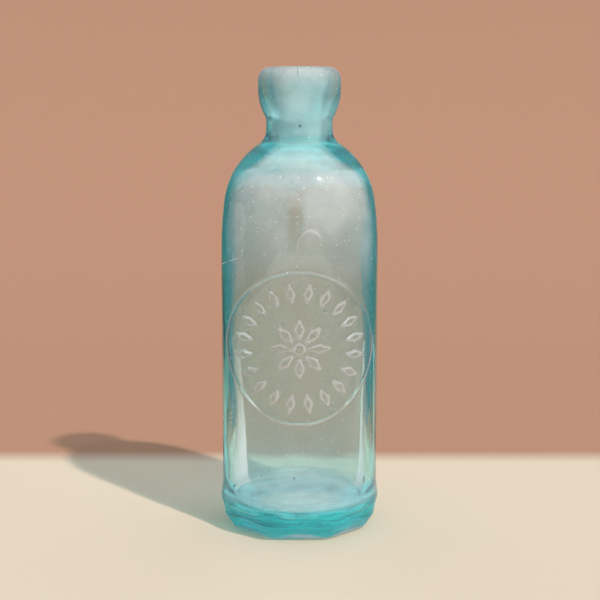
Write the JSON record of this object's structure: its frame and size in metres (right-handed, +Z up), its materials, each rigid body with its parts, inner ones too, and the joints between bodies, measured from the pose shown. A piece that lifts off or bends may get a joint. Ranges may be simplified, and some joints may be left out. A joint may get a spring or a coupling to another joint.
{
  "type": "blob-top soda bottle",
  "caption": "Thick aqua glass soda bottle with a round blob lip, short neck, straight body, panelled heel and a raised plate ring on the front.",
  "frame": {"origin": "centre of the base, on the surface that the bottle stands on", "axes": "+Z up along the bottle's axis, the plate ring on the front faces -Y"},
  "size_m": [0.0616, 0.0616, 0.1755],
  "materials": {
    "aqua_glass": "clear, with seeds and light wear"
  },
  "bodies": {
    "root": {"bottle": "aqua_glass"}
  },
  "joints": []
}
